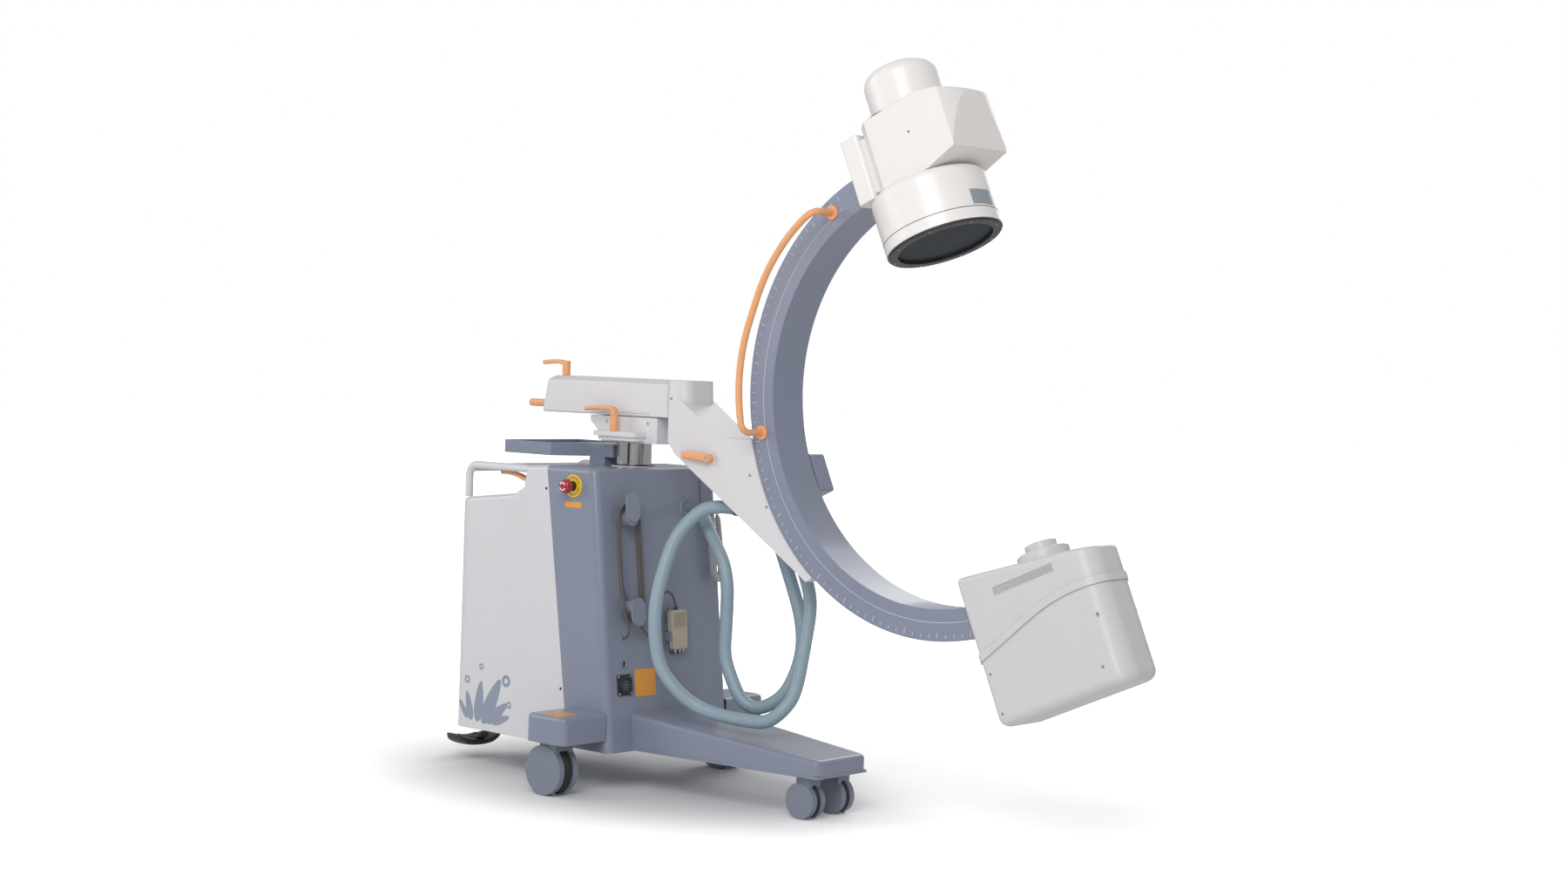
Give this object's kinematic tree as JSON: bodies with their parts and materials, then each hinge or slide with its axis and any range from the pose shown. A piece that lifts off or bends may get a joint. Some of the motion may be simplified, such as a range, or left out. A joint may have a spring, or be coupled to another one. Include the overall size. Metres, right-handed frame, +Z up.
{
  "type": "mobile c-arm x-ray",
  "caption": "Mobile C-arm X-ray stand: wheeled cart, lift column and sliding arm carry an arc that turns, with an image intensifier above and a tube head below.",
  "frame": {"origin": "on the floor under the middle of the machine's bounding box", "axes": "+X from the push handle to the arc, the way the cart is pushed; +Y to its left; +Z up"},
  "size_m": [2.2761, 0.8, 1.9607],
  "materials": {
    "cream_shell": "satin",
    "blue_shell": "satin",
    "warm_shell": "satin",
    "frame_paint": "satin",
    "grey_paint": "satin",
    "arm_casting": "painted satin",
    "arc_casting": "painted satin",
    "chrome": "polished",
    "steel": "machined",
    "drive_plastic": "matte",
    "orange_grip": "satin",
    "white_metal": "painted",
    "dark_rubber": "matte",
    "caster_plastic": "satin",
    "tyre": "matte",
    "red": "gloss",
    "yellow": "gloss",
    "beige": "satin",
    "hook_plastic": "satin",
    "socket": "matte",
    "hose": "satin",
    "cable": "matte",
    "curl": "matte",
    "window": "gloss"
  },
  "bodies": {
    "cart": {"base_frame": "frame_paint", "leg_cover": "blue_shell", "outrigger_covers": "blue_shell", "front_housing": "blue_shell", "rear_cover": "cream_shell", "push_handle": "white_metal", "estop_ring": "yellow", "cord_hooks": "hook_plastic", "front_sockets": "socket", "hose_elbow": "dark_rubber", "switch_holder": "beige", "hand_switch": "beige", "tray": "arc_casting", "outer_column": "grey_paint", "actuator_tube": "drive_plastic", "power_unit": "drive_plastic", "switch_cable": "cable", "cable_hank": "cable", "curly_cord": "curl", "hose_b": "hose"},
    "lift": {"inner_column": "chrome", "actuator_rod": "chrome"},
    "swivel": {"swivel_block": "arm_casting", "slide_carriage": "steel"},
    "arm": {"arm_housing": "arm_casting", "arm_rails": "chrome"},
    "bracket": {"pivot_shaft": "steel", "c_bracket": "arm_casting", "hose_clamps": "dark_rubber", "cable_entry_box": "arc_casting", "hose_a": "hose"},
    "c": {"c_arc": "arc_casting", "grab_handle": "orange_grip", "ii_mount": "warm_shell", "ii_drum": "warm_shell", "ii_window": "window", "ii_trim_ring": "dark_rubber", "ii_housing": "warm_shell", "ii_camera_cover": "warm_shell", "intensifier_tube": "drive_plastic", "tube_cover": "warm_shell", "tube_base": "warm_shell", "tube_monoblock": "drive_plastic"},
    "roller_upper": {"roller_upper": "steel"},
    "roller_lower": {"roller_lower": "steel"},
    "swivel_lever": {"swivel_lever": "orange_grip"},
    "arm_lock_lever": {"arm_lock_lever": "orange_grip"},
    "arm_rear_grip": {"arm_rear_grip": "orange_grip"},
    "orbit_lock_lever": {"orbit_lock_lever": "orange_grip"},
    "estop_button": {"estop_button": "red"},
    "steering_lever": {"steering_lever": "orange_grip"},
    "brake_pedal": {"brake_pedal": "dark_rubber"},
    "rear_right_caster_fork": {"rear_right_caster_fork": "caster_plastic"},
    "rear_right_caster_wheel": {"rear_right_caster_wheel": "tyre"},
    "rear_left_caster_fork": {"rear_left_caster_fork": "caster_plastic"},
    "rear_left_caster_wheel": {"rear_left_caster_wheel": "tyre"},
    "front_right_caster_fork": {"front_right_caster_fork": "caster_plastic"},
    "front_right_caster_wheel": {"front_right_caster_wheel": "tyre"},
    "front_left_caster_fork": {"front_left_caster_fork": "caster_plastic"},
    "front_left_caster_wheel": {"front_left_caster_wheel": "tyre"}
  },
  "joints": [
    {"name": "lift", "type": "slide", "parent": "cart", "child": "lift", "axis": [0, 0, 1], "range_m": [0, 0.4], "deforming": ["hose_b"]},
    {"name": "swivel", "type": "hinge", "parent": "lift", "child": "swivel", "pos_m": [-0.552, 0, 0.96], "axis": [0, 0, 1], "range_deg": [-12.5, 12.5], "deforming": ["hose_b"]},
    {"name": "travel", "type": "slide", "parent": "swivel", "child": "arm", "axis": [1, 0, 0], "range_m": [0, 0.2], "deforming": ["hose_b"]},
    {"name": "pivot", "type": "hinge", "parent": "arm", "child": "bracket", "pos_m": [-0.362, 0, 1.068], "axis": [1, 0, 0], "range_deg": [-180, 180], "deforming": ["hose_b"]},
    {"name": "orbit", "type": "hinge", "parent": "bracket", "child": "c", "pos_m": [0.542, 0, 1.112], "axis": [0, -1, 0], "range_deg": [-51.8, 66.2]},
    {"name": "roller_upper_spin", "type": "hinge", "parent": "bracket", "child": "roller_upper", "pos_m": [0.00112, 0, 0.91192], "axis": [0, -1, 0], "range_deg": [-1260, 1560]},
    {"name": "roller_lower_spin", "type": "hinge", "parent": "bracket", "child": "roller_lower", "pos_m": [0.13994, 0, 0.69856], "axis": [0, -1, 0], "range_deg": [-1260, 1560]},
    {"name": "swivel_lock", "type": "hinge", "parent": "swivel", "child": "swivel_lever", "pos_m": [-0.54, -0.094, 1.01], "axis": [0, 0, 1], "range_deg": [0, 75]},
    {"name": "travel_lock", "type": "hinge", "parent": "arm", "child": "arm_lock_lever", "pos_m": [-0.814, -0.02, 1.14], "axis": [0, 0, 1], "range_deg": [-80, 80]},
    {"name": "pivot_lock", "type": "hinge", "parent": "arm", "child": "arm_rear_grip", "pos_m": [-0.872, 0, 1.04], "axis": [1, 0, 0], "range_deg": [0, 60]},
    {"name": "orbit_lock", "type": "hinge", "parent": "bracket", "child": "orbit_lock_lever", "pos_m": [-0.196, -0.075, 0.917], "axis": [0, 1, 0], "range_deg": [0, 90]},
    {"name": "stop", "type": "slide", "parent": "cart", "child": "estop_button", "axis": [0, 1, 0], "range_m": [0, 0.006], "stiffness_N_per_m": 1500},
    {"name": "steer", "type": "hinge", "parent": "cart", "child": "steering_lever", "pos_m": [-0.764, -0.184, 0.82], "axis": [0, 1, 0], "range_deg": [0, 14]},
    {"name": "brake", "type": "hinge", "parent": "cart", "child": "brake_pedal", "pos_m": [-0.705, -0.095, 0.1], "axis": [0, -1, 0], "range_deg": [0, 3]},
    {"name": "rear_right_turn", "type": "hinge", "parent": "cart", "child": "rear_right_caster_fork", "pos_m": [-0.471, -0.341, 0.12], "axis": [0, 0, 1], "continuous": true},
    {"name": "rear_right_roll", "type": "hinge", "parent": "rear_right_caster_fork", "child": "rear_right_caster_wheel", "pos_m": [-0.486, -0.341, 0.068], "axis": [0, 1, 0], "continuous": true},
    {"name": "rear_left_turn", "type": "hinge", "parent": "cart", "child": "rear_left_caster_fork", "pos_m": [-0.471, 0.341, 0.12], "axis": [0, 0, 1], "continuous": true},
    {"name": "rear_left_roll", "type": "hinge", "parent": "rear_left_caster_fork", "child": "rear_left_caster_wheel", "pos_m": [-0.486, 0.341, 0.068], "axis": [0, 1, 0], "continuous": true},
    {"name": "front_right_turn", "type": "hinge", "parent": "cart", "child": "front_right_caster_fork", "pos_m": [0.18, -0.059, 0.12], "axis": [0, 0, 1], "continuous": true},
    {"name": "front_right_roll", "type": "hinge", "parent": "front_right_caster_fork", "child": "front_right_caster_wheel", "pos_m": [0.172, -0.059, 0.048], "axis": [0, 1, 0], "continuous": true},
    {"name": "front_left_turn", "type": "hinge", "parent": "cart", "child": "front_left_caster_fork", "pos_m": [0.18, 0.059, 0.12], "axis": [0, 0, 1], "continuous": true},
    {"name": "front_left_roll", "type": "hinge", "parent": "front_left_caster_fork", "child": "front_left_caster_wheel", "pos_m": [0.172, 0.059, 0.048], "axis": [0, 1, 0], "continuous": true}
  ],
  "couplings": [
    {"joint": "roller_upper_spin", "follows": "orbit", "ratio": 23.192},
    {"joint": "roller_lower_spin", "follows": "orbit", "ratio": 23.192}
  ]
}
